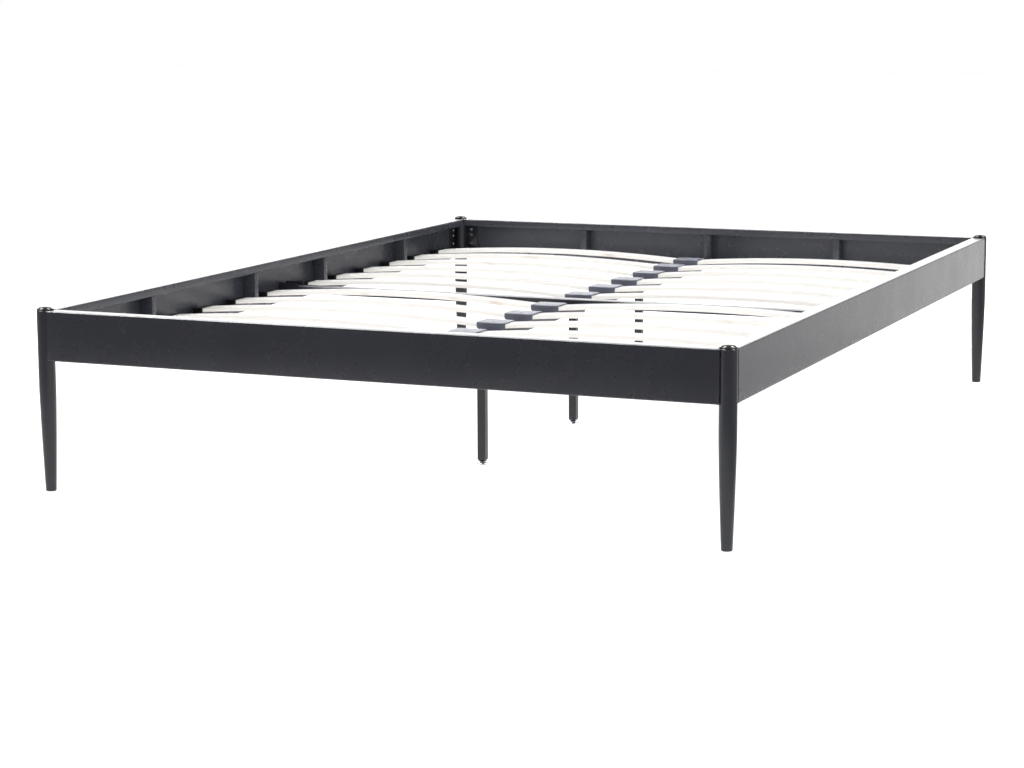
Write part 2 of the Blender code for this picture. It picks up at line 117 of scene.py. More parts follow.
def moved(shape, offset=(0, 0, 0), turn=0.0):
    """A shape turned about Z, then shifted."""
    points, faces = shape
    c, s = math.cos(turn), math.sin(turn)
    spin = np.array([[c, s, 0], [-s, c, 0], [0, 0, 1]])
    return points @ spin + np.asarray(offset, float), faces


def piece(name, shape, finish, body="frame", stands_for=(), sharp=32.0):
    """A finished piece: doubles merged, faces out, smooth but for its sharp edges, riding on its body."""
    points, faces = shape
    mesh = bpy.data.meshes.new(name)
    mesh.from_pydata(points, [], faces)
    work = bmesh.new()
    work.from_mesh(mesh)
    bmesh.ops.remove_doubles(work, verts=work.verts, dist=2e-6)
    bmesh.ops.dissolve_degenerate(work, edges=work.edges, dist=1e-6)
    bmesh.ops.recalc_face_normals(work, faces=work.faces)
    work.to_mesh(mesh)
    work.free()
    mesh.shade_smooth()
    mesh.set_sharp_from_angle(angle=math.radians(sharp))
    mesh.materials.append(finish)
    thing = bpy.data.objects.new(name, mesh)
    bpy.context.scene.collection.objects.link(thing)
    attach(thing, body)
    if stands_for:
        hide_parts(*stands_for)
    return thing


def middle_of(node):
    low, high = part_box(node)
    return (low + high) / 2


# %% [markdown]
# ## How a finish is written
#
# Each finish is a small tree of nodes around a Principled shader. Colours are written as the sRGB hex a
# paint chart would give, and one function turns them linear. One more function adds a node, sets it up
# and wires it, so a finish reads as a list of what lies on top of what. Every pattern is measured in
# metres on the object itself, because Object coordinates are metres here.

# %% Colours and nodes
def paint(hex_code):
    """sRGB hex to linear RGBA: c/12.92 below 0.04045, else ((c + 0.055) / 1.055) to the power 2.4."""
    value = np.array([int(hex_code[k:k + 2], 16) for k in (1, 3, 5)]) / 255.0
    linear = np.where(value <= 0.04045, value / 12.92, ((value + 0.055) / 1.055) ** 2.4)
    return (*[float(c) for c in linear], 1.0)


def add(tree, kind, settings=None, values=None, links=None):
    """A node of that kind, its settings by attribute, its socket values, and links (socket: source)."""
    node = tree.nodes.new(kind)
    for key, value in (settings or {}).items():
        setattr(node, key, value)
    for key, value in (values or {}).items():
        node.inputs[key].default_value = value
    for key, source in (links or {}).items():
        tree.links.new(source, node.inputs[key])
    return node


def new_finish(name):
    finish = bpy.data.materials.new(name)
    finish.use_nodes = True
    tree = finish.node_tree
    shader = tree.nodes["Principled BSDF"]
    place = add(tree, "ShaderNodeTexCoord").outputs["Object"]
    return finish, tree, shader, place


def ramp(tree, source, stops):
    """A colour ramp: stops is a list of (position, rgba), in rising order."""
    node = add(tree, "ShaderNodeValToRGB", links={"Fac": source})
    bar = node.color_ramp
    bar.elements.remove(bar.elements[1])
    bar.elements[0].position, bar.elements[0].color = stops[0]
    for where, colour in stops[1:]:
        bar.elements.new(where).color = colour
    return node.outputs["Color"]


MM = 0.001                       # patterns are sized in millimetres

# %% [markdown]
# ### Powder coat on steel
#
# The rails and legs are mild steel, dusted with dry polyester powder and baked until it flows. Baked
# powder never lies quite flat: it has a faint orange peel, hills a few millimetres across and microns
# high, and a fine satin grain. To the eye that is a soft, slightly broken sheen which turns pale at a
# low angle. So the colour hardly varies, while roughness and bump carry the finish.

# %% Powder coat
def inside_the_bed(tree, place, half_x, half_y, top):
    """1 where a point is nearer the middle than both halves and below the top, else 0."""
    axes = add(tree, "ShaderNodeSeparateXYZ", links={"Vector": place})
    masks = []
    for axis, limit in (("X", half_x), ("Y", half_y)):
        size = add(tree, "ShaderNodeMath", {"operation": "ABSOLUTE"}, None, {0: axes.outputs[axis]})
        masks.append(add(tree, "ShaderNodeMath", {"operation": "LESS_THAN"}, {1: limit},
                         {0: size.outputs[0]}))
    masks.append(add(tree, "ShaderNodeMath", {"operation": "LESS_THAN"}, {1: top}, {0: axes.outputs["Z"]}))
    both = add(tree, "ShaderNodeMath", {"operation": "MULTIPLY"}, None,
               {0: masks[0].outputs[0], 1: masks[1].outputs[0]})
    return add(tree, "ShaderNodeMath", {"operation": "MULTIPLY"}, None,
               {0: both.outputs[0], 1: masks[2].outputs[0]}).outputs[0]


def powder_coat(name, colour, worn, roughness, peel_mm=4.0, peel_height=0.004, painted_inside_reflection=None):
    finish, tree, shader, place = new_finish(name)
    peel = add(tree, "ShaderNodeTexNoise", {"noise_dimensions": "3D"},
               {"Scale": 1 / (peel_mm * MM), "Detail": 2.0, "Roughness": 0.45}, {"Vector": place})
    # the true grain of the powder is under 0.1 mm, too fine to show, so it is drawn at 0.8 mm
    grain = add(tree, "ShaderNodeTexNoise", {"noise_dimensions": "3D"},
                {"Scale": 1 / (0.8 * MM), "Detail": 1.0}, {"Vector": place})
    # handling leaves broad, faint changes of gloss a hand's width across
    handling = add(tree, "ShaderNodeTexNoise", {"noise_dimensions": "3D"},
                   {"Scale": 1 / (90 * MM), "Detail": 3.0, "Roughness": 0.55}, {"Vector": place})
    tint = add(tree, "ShaderNodeMix", {"data_type": "RGBA"},
               {"A": paint(colour), "B": paint(worn)}, {"Factor": handling.outputs["Fac"]})
    coat = tint.outputs["Result"]
    if painted_inside_reflection:
        # painted reflection: the inside of the rails is given a paler colour, standing in for the brighter
        # reflections the steel shows there
        reach = inside_the_bed(tree, place, *INSIDE_OF_RAILS)
        coat = add(tree, "ShaderNodeMix", {"data_type": "RGBA"}, {"B": paint(painted_inside_reflection)},
                   {"A": coat, "Factor": reach}).outputs["Result"]
    tree.links.new(coat, shader.inputs["Base Color"])
    gloss = add(tree, "ShaderNodeMapRange", None,
                {"From Min": 0.3, "From Max": 0.7, "To Min": roughness - 0.015, "To Max": roughness + 0.02},
                {"Value": handling.outputs["Fac"]})
    tree.links.new(gloss.outputs["Result"], shader.inputs["Roughness"])
    fine = add(tree, "ShaderNodeBump", None, {"Strength": 0.06, "Distance": 0.01 * MM},
               {"Height": grain.outputs["Fac"]})
    bumps = add(tree, "ShaderNodeBump", None, {"Strength": 0.14, "Distance": peel_height * MM},
                {"Height": peel.outputs["Fac"], "Normal": fine.outputs["Normal"]})
    tree.links.new(bumps.outputs["Normal"], shader.inputs["Normal"])
    shader.inputs["IOR"].default_value = 1.52
    return finish


rail_low, rail_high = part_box("foot_rail")
side_low, side_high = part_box("right_rail")
# 1.5 mm in from the rails' outer sides, 2 mm down from their tops
INSIDE_OF_RAILS = (side_high.x - 0.0015, -rail_low.y - 0.0015, rail_high.z - 0.002)
# the inside of the rails gets a paler colour, #3a3c43, as painted reflection
rail_coat = powder_coat("baked_powder_coat_on_rails", "#1d1e25", "#22232a", 0.27, painted_inside_reflection="#3a3c43")
leg_coat = powder_coat("baked_powder_coat_on_legs", "#1a1b21", "#1e1f25", 0.32)
bar_coat = powder_coat("baked_powder_coat_on_bars", "#181920", "#1f2029", 0.34)
print("powder coats:", rail_coat.name, leg_coat.name, bar_coat.name)

# %% [markdown]
# ### Bent birch slats
#
# A sprung slat is a stack of rotary-cut birch veneers, about 1.3 mm each, glued in a curved press and
# sanded. Its faces are pale with long soft figure along the grain, now and then a brown streak or a pin
# knot; its edges show the veneers as fine lines, one in two darker. Each slat is a different piece of
# wood, so a number kept on each mesh shifts the pattern from one slat to the next.

# %% Birch veneer
def birch(name):
    finish, tree, shader, place = new_finish(name)
    number = add(tree, "ShaderNodeAttribute", {"attribute_type": "GEOMETRY", "attribute_name": "slat_number"})
    offset = add(tree, "ShaderNodeCombineXYZ", None, {"X": 0.0},
                 {"Y": add(tree, "ShaderNodeMath", {"operation": "MULTIPLY"}, {1: 0.37},
                           {0: number.outputs["Fac"]}).outputs[0],
                  "Z": add(tree, "ShaderNodeMath", {"operation": "MULTIPLY"}, {1: 1.71},
                           {0: number.outputs["Fac"]}).outputs[0]})
    own_place = add(tree, "ShaderNodeVectorMath", {"operation": "ADD"}, None,
                    {0: place, 1: offset.outputs[0]}).outputs[0]
    # grain: about 2 mm across and 90 mm along, so the place is squeezed along the slat
    along = add(tree, "ShaderNodeMapping", None, {"Scale": (1 / (90 * MM), 1 / (3.2 * MM), 1 / (40 * MM))},
                {"Vector": own_place}).outputs["Vector"]
    figure = add(tree, "ShaderNodeTexNoise", {"noise_dimensions": "3D"},
                 {"Scale": 1.0, "Detail": 4.0, "Roughness": 0.6, "Distortion": 0.4}, {"Vector": along})
    wood = ramp(tree, figure.outputs["Fac"], [(0.30, paint("#efedea")), (0.52, paint("#f4f2f0")),
                                              (0.75, paint("#f7f5f3"))])
    # a brown streak: long, thin and rare
    streak_place = add(tree, "ShaderNodeMapping", None,
                       {"Scale": (1 / (150 * MM), 1 / (9 * MM), 1 / (60 * MM)), "Location": (3.1, 0.7, 1.9)},
                       {"Vector": own_place}).outputs["Vector"]
    streak = add(tree, "ShaderNodeTexNoise", {"noise_dimensions": "3D"},
                 {"Scale": 1.0, "Detail": 2.0, "Roughness": 0.5}, {"Vector": streak_place})
    streak_share = ramp(tree, streak.outputs["Fac"], [(0.66, (0, 0, 0, 1)), (0.74, (0.55, 0.55, 0.55, 1))])
    streaked = add(tree, "ShaderNodeMix", {"data_type": "RGBA"}, {"B": paint("#b99468")},
                   {"Factor": streak_share, "A": wood}).outputs["Result"]
    # pin knots: small cells, a few to a slat
    knot_place = add(tree, "ShaderNodeMapping", None,
                     {"Scale": (1 / (70 * MM), 1 / (34 * MM), 1 / (34 * MM))},
                     {"Vector": own_place}).outputs["Vector"]
    knot = add(tree, "ShaderNodeTexVoronoi", {"feature": "F1"}, {"Scale": 1.0, "Randomness": 1.0},
               {"Vector": knot_place})
    knot_share = ramp(tree, knot.outputs["Distance"], [(0.022, (0.6, 0.6, 0.6, 1)), (0.055, (0, 0, 0, 1))])
    knotted = add(tree, "ShaderNodeMix", {"data_type": "RGBA"}, {"B": paint("#9c7448")},
                  {"Factor": knot_share, "A": streaked}).outputs["Result"]
    # veneers on the edges: 1.3 mm each, every other one end grain and darker
    layer = add(tree, "ShaderNodeAttribute", {"attribute_type": "GEOMETRY", "attribute_name": "veneer"})
    line = add(tree, "ShaderNodeMath", {"operation": "PINGPONG"}, {1: 0.5}, {0: layer.outputs["Fac"]})
    dark = add(tree, "ShaderNodeMath", {"operation": "GREATER_THAN"}, {1: 0.25}, {0: line.outputs[0]})
    edge = add(tree, "ShaderNodeAttribute", {"attribute_type": "GEOMETRY", "attribute_name": "edge_share"})
    edge_dark = add(tree, "ShaderNodeMath", {"operation": "MULTIPLY"}, None,
                    {0: dark.outputs[0], 1: edge.outputs["Fac"]})
    share = add(tree, "ShaderNodeMath", {"operation": "MULTIPLY"}, {1: 0.45}, {0: edge_dark.outputs[0]})
    whole = add(tree, "ShaderNodeMix", {"data_type": "RGBA"}, {"B": paint("#e6dccb")},
                {"Factor": share.outputs[0], "A": knotted})
    tree.links.new(whole.outputs["Result"], shader.inputs["Base Color"])
    rough = add(tree, "ShaderNodeMapRange", None, {"To Min": 0.78, "To Max": 0.90},
                {"Value": figure.outputs["Fac"]})
    tree.links.new(rough.outputs["Result"], shader.inputs["Roughness"])
    bump = add(tree, "ShaderNodeBump", None, {"Strength": 0.25, "Distance": 0.05 * MM},
               {"Height": figure.outputs["Fac"]})
    tree.links.new(bump.outputs["Normal"], shader.inputs["Normal"])
    shader.inputs["IOR"].default_value = 1.5
    return finish


slat_wood = birch("sanded_birch_veneer")
print("wood:", slat_wood.name)

# %% [markdown]
# ### Moulded plastics and plated steel
#
# The slat holders are a tough, slightly rubbery polypropylene in blue-grey; the end sleeves, leg caps and
# leg inserts are black polypropylene. Both come out of a spark-eroded mould, which leaves a fine matt
# grain. The screws and the adjustable feet are zinc plated: a bright, faintly cloudy metal.

# %% Moulded plastic and zinc
def moulded(name, colour, pale, roughness, grain_mm=1.0):
    finish, tree, shader, place = new_finish(name)
    # spark-eroded grain is near 0.1 mm on the real moulding; drawn at 1 mm so that it shows
    grain = add(tree, "ShaderNodeTexVoronoi", {"feature": "F1"}, {"Scale": 1 / (grain_mm * MM)},
                {"Vector": place})
    flow = add(tree, "ShaderNodeTexNoise", None, {"Scale": 1 / (14 * MM), "Detail": 3.0}, {"Vector": place})
    tint = add(tree, "ShaderNodeMix", {"data_type": "RGBA"}, {"A": paint(colour), "B": paint(pale)},
               {"Factor": flow.outputs["Fac"]})
    tree.links.new(tint.outputs["Result"], shader.inputs["Base Color"])
    gloss = add(tree, "ShaderNodeMapRange", None, {"To Min": roughness - 0.05, "To Max": roughness + 0.07},
                {"Value": flow.outputs["Fac"]})
    tree.links.new(gloss.outputs["Result"], shader.inputs["Roughness"])
    bump = add(tree, "ShaderNodeBump", None, {"Strength": 0.3, "Distance": 0.02 * MM},
               {"Height": grain.outputs["Distance"]})
    tree.links.new(bump.outputs["Normal"], shader.inputs["Normal"])
    shader.inputs["IOR"].default_value = 1.49
    return finish


def plated(name, colour, cloudy, roughness):
    finish, tree, shader, place = new_finish(name)
    cloud = add(tree, "ShaderNodeTexNoise", None, {"Scale": 1 / (3 * MM), "Detail": 4.0}, {"Vector": place})
    tint = add(tree, "ShaderNodeMix", {"data_type": "RGBA"}, {"A": paint(colour), "B": paint(cloudy)},
               {"Factor": cloud.outputs["Fac"]})
    tree.links.new(tint.outputs["Result"], shader.inputs["Base Color"])
    gloss = add(tree, "ShaderNodeMapRange", None, {"To Min": roughness - 0.08, "To Max": roughness + 0.10},
                {"Value": cloud.outputs["Fac"]})
    tree.links.new(gloss.outputs["Result"], shader.inputs["Roughness"])
    shader.inputs["Metallic"].default_value = 1.0
    return finish


holder_plastic = moulded("blue_grey_polypropylene", "#4b4e5a", "#585b67", 0.43)
black_plastic = moulded("black_polypropylene", "#0f0f11", "#151517", 0.11, 0.7)
foot_zinc = plated("bright_zinc_plate", "#c9ccd0", "#a8acb2", 0.28)
screw_zinc = plated("bright_passivated_zinc", "#b4b6ba", "#8c8e92", 0.24)
print("plastics and plate:", holder_plastic.name, black_plastic.name, foot_zinc.name, screw_zinc.name)

# %% [markdown]
# ## The rails
#
# Each rail is a ladder of thin square tube with a flat steel sheet welded on as its outer face: a tube
# along the top, a lower one along the bottom and upright stiles between them. Drawn tube has rounded
# corners, which is why the rail's long edges catch a thin line of light. The section is drawn once with
# small curves for corners and carried along the rail; towards a leg only the sheet runs on.

# %% Rails
SHEET = 0.002                    # thickness of the outer sheet
BEND = 0.0032                    # outside radius along the rail's edges
RAIL_DEPTH = 0.033
BAND_HEIGHT = 0.018              # the tube along the top
FOOT_HEIGHT = 0.015              # the tube along the bottom
LEG_RADIUS = 0.017
FIT = 0.0003
FACE_OFFSET = 0.0155             # the sheet's outer face from the leg's axis
SIDE_RIBS = (-0.309, -0.0855, 0.0855, 0.309)      # as shares of the leg spacing
END_RIBS = (-0.2434, 0.0, 0.2434)

leg_spots = {name: middle_of(name) for name in ("front_left_leg_cap", "front_right_leg_cap",
                                                "back_right_leg_cap", "back_left_leg_cap")}
spacing_x = leg_spots["front_right_leg_cap"].x - leg_spots["front_left_leg_cap"].x
spacing_y = leg_spots["back_right_leg_cap"].y - leg_spots["front_right_leg_cap"].y


def rail_shape(spacing, length, rib_shares, rib_width):
    """The section (y, z) carried along X. Outer face at y = 0, the inside of the bed at +y."""
    bottom, top, depth = rail_low.z, rail_high.z, RAIL_DEPTH
    foot_top, band_low = bottom + FOOT_HEIGHT, top - BAND_HEIGHT
    corners = [(depth, foot_top), (depth, bottom), (0, bottom), (0, top), (depth, top), (depth, band_low),
               (SHEET, band_low), (SHEET, foot_top)]
    bends = [BEND * 0.8, BEND, BEND, BEND, BEND, BEND * 0.8, 0.0003, 0.0003]
    only_face = [(SHEET, bottom), (SHEET, bottom), (0, bottom), (0, top)] + [(SHEET, top)] * 3
    only_face += [(SHEET, bottom)]
    face_bends = [0, 0, BEND * 0.8, BEND * 0.8] + [0] * 4
    section = rounded(corners, bends)
    face = rounded(only_face, face_bends)
    half, inner_half = length / 2, spacing / 2 - (RAIL_DEPTH - FACE_OFFSET) - FIT
    stations = ((-half, face), (-inner_half, face), (-inner_half, section), (-inner_half / 3, section),
                (inner_half / 3, section), (inner_half, section), (inner_half, face), (half, face))
    rings = [np.column_stack([np.full(len(outline), x), outline]) for x, outline in stations]
    shapes = [skin(rings)]
    stile = [(SHEET + FIT, foot_top + FIT), (depth, foot_top + FIT), (depth, band_low - FIT),
             (SHEET + FIT, band_low - FIT)]
    edge = 0.0016
    for share in rib_shares:
        middle = share * spacing
        rings = []
        for x, pull in ((-rib_width / 2, edge), (-rib_width / 2 + edge * 0.3, edge * 0.3),
                        (-rib_width / 2 + edge, 0.0), (rib_width / 2 - edge, 0.0),
                        (rib_width / 2 - edge * 0.3, edge * 0.3), (rib_width / 2, edge)):
            outline = rounded(stile, 0.0002, 3)
            outline[:, 0] = np.minimum(outline[:, 0], depth - pull)
            rings.append(np.column_stack([np.full(len(outline), middle + x), outline]))
        shapes.append(skin(rings))
    return together(*shapes)


def rail_placed(name, shape, turn, outer):
    return piece(name + "_ladder", moved(shape, outer, turn), rail_coat,
                 stands_for=[name])


end_length = rail_high.x - rail_low.x
end_shape = rail_shape(spacing_x, end_length, END_RIBS, 0.018)
side_shape = rail_shape(spacing_y, side_high.y - side_low.y, SIDE_RIBS, 0.017)
rails = [
    rail_placed("foot_rail", end_shape, 0.0, (0, rail_low.y, 0)),
    rail_placed("head_rail", end_shape, math.pi, (0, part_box("head_rail")[1].y, 0)),
    rail_placed("right_rail", side_shape, math.pi / 2, (side_high.x, 0, 0)),
    rail_placed("left_rail", side_shape, -math.pi / 2, (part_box("left_rail")[0].x, 0, 0)),
]
print("rails:", [rail.name for rail in rails])

# %% [markdown]
# ## The corner legs
#
# A leg is round tube, swaged so that it stays straight behind the rails and then eases in towards the
# floor. Its radius is a formula of height: full above the taper, and below it smaller by the share of
# the taper gone, to the power 1.36. Two plates welded to each leg reach in behind the rails, and screws
# hold them. The cap is a separate moulding: a beaded rim with a low dome.

# %% Corner legs, plates and caps
TAPER_START = 0.215
TAPER_POWER = 1.36
FOOT_RADIUS = 0.0107
PLATE = 0.003
PLATE_REACH = 0.045
leg_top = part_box("front_left_leg")[1].z


def leg_shape():
    heights = np.concatenate([np.linspace(0.0016, TAPER_START, 44), np.linspace(0.225, leg_top - 0.0004, 8)])
    gone = np.clip((TAPER_START - heights) / TAPER_START, 0, 1)
    radii = LEG_RADIUS - (LEG_RADIUS - FOOT_RADIUS) * gone ** TAPER_POWER
    turn_in = np.linspace(0, math.pi / 2, 6)
    foot = np.column_stack([FOOT_RADIUS - 0.0016 + 0.0016 * np.sin(turn_in),
                            0.0016 - 0.0016 * np.cos(turn_in)])
    body = np.column_stack([radii, heights])
    top = [(LEG_RADIUS - 0.0004, leg_top), (LEG_RADIUS - 0.0015, leg_top),
           (LEG_RADIUS - 0.0015, leg_top - 0.014),
           (0, leg_top - 0.014)]
    return turned(np.concatenate([[(0, 0)], foot, body, top]))


def plate_shape(reach, near, low, high, along):
    """A welded plate: a rounded rectangle (distance from the leg, height), 3 mm thick."""
    outline = rounded([(0.011, low), (reach, low), (reach, high), (0.011, high)],
                      [0.0003, 0.004, 0.004, 0.0003])
    rings = []
    for depth, inset in ((0, 0.0004), (0.0004, 0), (PLATE - 0.0004, 0), (PLATE, 0.0004)):
        middle = outline.mean(0)
        ring = middle + (outline - middle) * (1 - inset / 0.02)
        pair = [ring[:, 0], np.full(len(ring), near + depth)]
        if along == "y":
            pair = pair[::-1]
        rings.append(np.column_stack([*pair, ring[:, 1]]))
    return skin(rings)


plate_near = -FACE_OFFSET + SHEET + FIT
plate_low = rail_low.z + FOOT_HEIGHT + 0.003
plate_high = rail_high.z - BAND_HEIGHT - 0.003
leg_form = together(leg_shape(), plate_shape(PLATE_REACH, plate_near, plate_low, plate_high, "x"),
                    plate_shape(PLATE_REACH, plate_near, plate_low, plate_high, "y"))


def cap_shape():
    """Rim: a half-round bead of radius 1.6 mm. Dome: a quarter of an ellipse inside it."""
    bead, rim, crown = 0.0016, 0.0042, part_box("front_left_leg_cap")[1].z - leg_top
    seat = leg_top + FIT
    around = np.linspace(-math.pi / 2, math.pi / 2 + 0.5, 12)
    centre = leg_top + rim - bead
    bead_line = np.column_stack([LEG_RADIUS - bead + bead * np.cos(around), centre + bead * np.sin(around)])
    start = bead_line[-1]
    rise = np.linspace(0, math.pi / 2, 14)
    dome = np.column_stack([start[0] * 0.94 * np.cos(rise),
                            start[1] + (leg_top + crown - start[1]) * np.sin(rise)])
    neck = [(0, seat), (LEG_RADIUS - 0.0006, seat), (LEG_RADIUS - 0.0006, centre - bead * 0.9)]
    dome[-1, 0] = 0
    return turned(np.concatenate([neck, bead_line, dome]))


cap_form = cap_shape()
corner_turns = {"front_left": 0.0, "front_right": math.pi / 2,
                "back_right": math.pi, "back_left": -math.pi / 2}
for corner, turn in corner_turns.items():
    spot = leg_spots[corner + "_leg_cap"]
    piece(corner + "_turned_leg", moved(leg_form, (spot.x, spot.y, 0), turn), leg_coat,
          stands_for=[corner + "_leg"])
    piece(corner + "_domed_cap", moved(cap_form, (spot.x, spot.y, 0)), black_plastic,
          stands_for=[corner + "_leg_cap"])
print("legs and caps at", {name: (round(s.x, 3), round(s.y, 3)) for name, s in leg_spots.items()})

# %% [markdown]
# ## Screws in the corners
#
# Where the plates meet the rails sit pan-head screws with a hexagon socket, M6 on the real frame. A head
# is a turned form, a low dome with a dished socket. They are seen only from inside the bed, but they are
# what tells the eye that the rails come off.

# %% Corner screws
def screw_head(radius=0.0055, height=0.0028):
    """Pan head: dome to the rim, a flat, then a socket sunk 1.8 mm."""
    rise = np.linspace(0, math.pi / 2, 7)
    side = np.column_stack([radius * (0.72 + 0.28 * np.cos(rise)), height * np.sin(rise)])
    socket = [(radius * 0.46, height), (radius * 0.42, height - 0.0018), (0, height - 0.0019)]
    return turned(np.concatenate([[(0, 0)], side, socket]), 20)


def laid_over(shape, direction):
    """A form standing on Z, laid over so that it points along X or Y."""
    points, faces = shape
    x, y, z = points.T
    if direction == "x":
        return np.column_stack([z, y, -x]), faces
    return np.column_stack([x, z, -y]), faces


plate_face = plate_near + PLATE
screws = []
for height in (plate_low + 0.015, (plate_low + plate_high) / 2 + 0.008, plate_high - 0.008):
    screws.append(moved(laid_over(screw_head(), "y"), (0.0265, plate_face, height)))
    screws.append(moved(laid_over(screw_head(), "x"), (plate_face, 0.0265, height)))
for corner, turn in corner_turns.items():
    spot = leg_spots[corner + "_leg_cap"]
    piece(corner + "_plate_screws", moved(together(*screws), (spot.x, spot.y, 0), turn), screw_zinc)
print("screws:", len(screws), "to a corner")

# %% [markdown]
# ## Crossbar, centre beam and their saddles
#
# A flat tube crosses the bed at its middle, its ends lying in two U-shaped saddles on the bottom tubes of
# the side rails. A second tube, under the holders, runs from head to foot in two folded saddles. Drawn
# tube has rounded corners of about one and a half walls, so the sections are rectangles with curved
# corners, and each tube is open: its outline goes down the outside and back up the bore.

# %% Bars and saddles
def along_axis(outline, start, end, axis):
    """An outline (across, up) carried straight along X or Y from start to end."""
    rings = []
    for where in (start, start + (end - start) / 3, end - (end - start) / 3, end):
        line = np.full(len(outline), where)
        order = [line, outline[:, 0]] if axis == "x" else [outline[:, 0], line]
        rings.append(np.column_stack([*order, outline[:, 1]]))
    return rings


def open_tube(node, axis, wall=0.0015, corner=0.0022):
    """Rounded rectangle on the outside, the same in by one wall on the inside, joined at both ends."""
    low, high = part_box(node)
    across = (low.y, high.y) if axis == "x" else (low.x, high.x)
    start, end = (low.x, high.x) if axis == "x" else (low.y, high.y)
    outer = rounded(rectangle((across[0], low.z), (across[1], high.z)), corner, 6)
    inner = rounded(rectangle((across[0] + wall, low.z + wall), (across[1] - wall, high.z - wall)),
                    corner - wall, 6)
    outside = along_axis(outer, start, end, axis)
    inside = along_axis(inner, start, end, axis)[::-1]
    return skin(outside + inside + outside[:1], ends=False)


piece("crossbar_tube", open_tube("mid_crossbar", "x"), bar_coat,
      stands_for=["mid_crossbar"])
piece("centre_beam_tube", open_tube("centre_beam", "y"), bar_coat,
      stands_for=["centre_beam"])


def saddle_shape(node):
    """A strip folded into a U (across, up), with a back plate, carried along the beam's end."""
    low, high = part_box(node)
    wall = 0.002
    u_form = rounded([(low.x, high.z), (low.x, low.z), (high.x, low.z), (high.x, high.z),
                      (high.x - wall, high.z), (high.x - wall, low.z + wall), (low.x + wall, low.z + wall),
                      (low.x + wall, high.z)], [0.0004, 0.003, 0.003, 0.0004, 0.0004, 0.001, 0.001, 0.0004])
    back_y = (high.y, high.y - wall) if high.y > 0 else (low.y + wall, low.y)
    back = rounded(rectangle((low.x + 0.0004, low.z + 0.0004), (high.x - 0.0004, high.z)), 0.0025)
    return together(skin(along_axis(u_form, low.y, high.y, "y")), skin(along_axis(back, *back_y, "y")))


for node in ("head_beam_bracket", "foot_beam_bracket"):
    piece(node.replace("bracket", "saddle"), saddle_shape(node), bar_coat,
          stands_for=[node])


def crossbar_saddle(node):
    """A strip folded into a U (across, up) around the crossbar's end, carried out over the bottom tube."""
    low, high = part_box(node)
    wall = 0.002
    outline = rounded([(low.y, high.z), (low.y, low.z), (high.y, low.z), (high.y, high.z),
                       (high.y - wall, high.z),
                       (high.y - wall, low.z + wall), (low.y + wall, low.z + wall), (low.y + wall, high.z)],
                      [0.0008, 0.0016, 0.0016, 0.0008, 0.0008, 0.0006, 0.0006, 0.0008], 4)
    return skin(along_axis(outline, low.x, high.x, "x"))


for side in ("left", "right"):
    node = side + "_crossbar_saddle"
    piece(side + "_folded_crossbar_saddle", crossbar_saddle(node), bar_coat,
          stands_for=[node])

# %% [markdown]
# ## The sprung slats
#
# Each slat is an arc: it rises in the middle and flattens under weight. Its section is a rounded
# rectangle, 53 by 8 mm with softened edges, and the section is turned to stay square to the arc. Three
# numbers ride on every point for the wood: which slat it is, how far up the stack of veneers it lies,
# and whether it belongs to an edge.

# %% Slats
SLAT_THICK = 0.008
SLAT_END_TOP = 0.299             # top of a slat at either end
SLAT_RISE = 0.0155
SLAT_STEPS = 40
EDGE_ROUND = 0.0022


def slat_shape(node):
    """Arc of radius R = L^2 / 8h + h / 2, for a slat of length L and rise h; the section rides on it."""
    low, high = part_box(node)
    underside_length = high.x - low.x
    radius = underside_length ** 2 / (8 * SLAT_RISE) + SLAT_RISE / 2
    half_angle = math.asin(underside_length / 2 / (radius + SLAT_THICK))
    width = high.y - low.y
    outline = rounded(rectangle((-width / 2, 0), (width / 2, SLAT_THICK)), EDGE_ROUND, 5)
    across, lift = outline[:, 0][None, :], outline[:, 1][None, :]
    end_round = np.array([0.0008, 0.0002, 0.0])
    pull = np.concatenate([end_round, np.zeros(SLAT_STEPS - 5), end_round[::-1]])
    angle = np.concatenate([[-1, -0.9990, -0.9972], np.linspace(-0.985, 0.985, SLAT_STEPS - 5),
                            [0.9972, 0.9990, 1]]) * half_angle
    middle = SLAT_THICK / 2
    shrink = (1 - pull / middle)[:, None]
    reach = radius + middle + (lift - middle) * shrink
    x = reach * np.sin(angle)[:, None]
    z = reach * np.cos(angle)[:, None] - radius * math.cos(half_angle)
    y = across * (1 - pull / (width / 2))[:, None]
    grid = np.stack([x + (low.x + high.x) / 2, y + (low.y + high.y) / 2, z + low.z], axis=-1)
    lifts, acrosses = (np.broadcast_to(part, x.shape).reshape(-1) for part in (lift, across))
    return skin(grid), lifts, acrosses


slat_nodes = sorted(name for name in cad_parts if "_slat_" in name and name[-2:].isdigit())
for number, node in enumerate(slat_nodes):
    shape, lift, across = slat_shape(node)
    slat = piece(node.replace("slat", "sprung_slat"), shape, slat_wood, stands_for=[node])
    low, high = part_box(node)
    co = np.empty(len(slat.data.vertices) * 3)
    slat.data.vertices.foreach_get("co", co)
    co = co.reshape(-1, 3)
    count = len(co)
    centre_y = (low.y + high.y) / 2
    bow = np.sqrt(np.maximum(1 - ((co[:, 0] - (low.x + high.x) / 2) / ((high.x - low.x) / 2)) ** 2, 0))
    height = co[:, 2] - low.z - (high.z - low.z - SLAT_THICK) * bow ** 2
    values = {"slat_number": np.full(count, number * 1.0), "veneer": height / 0.0026,
              "edge_share": (np.abs(co[:, 1] - centre_y) > (high.y - low.y) / 2 - 0.0012) * 1.0}
    for key, value in values.items():
        layer = slat.data.attributes.new(key, "FLOAT", "POINT")
        layer.data.foreach_set("value", value.astype(np.float32))
print("slats:", len(slat_nodes))

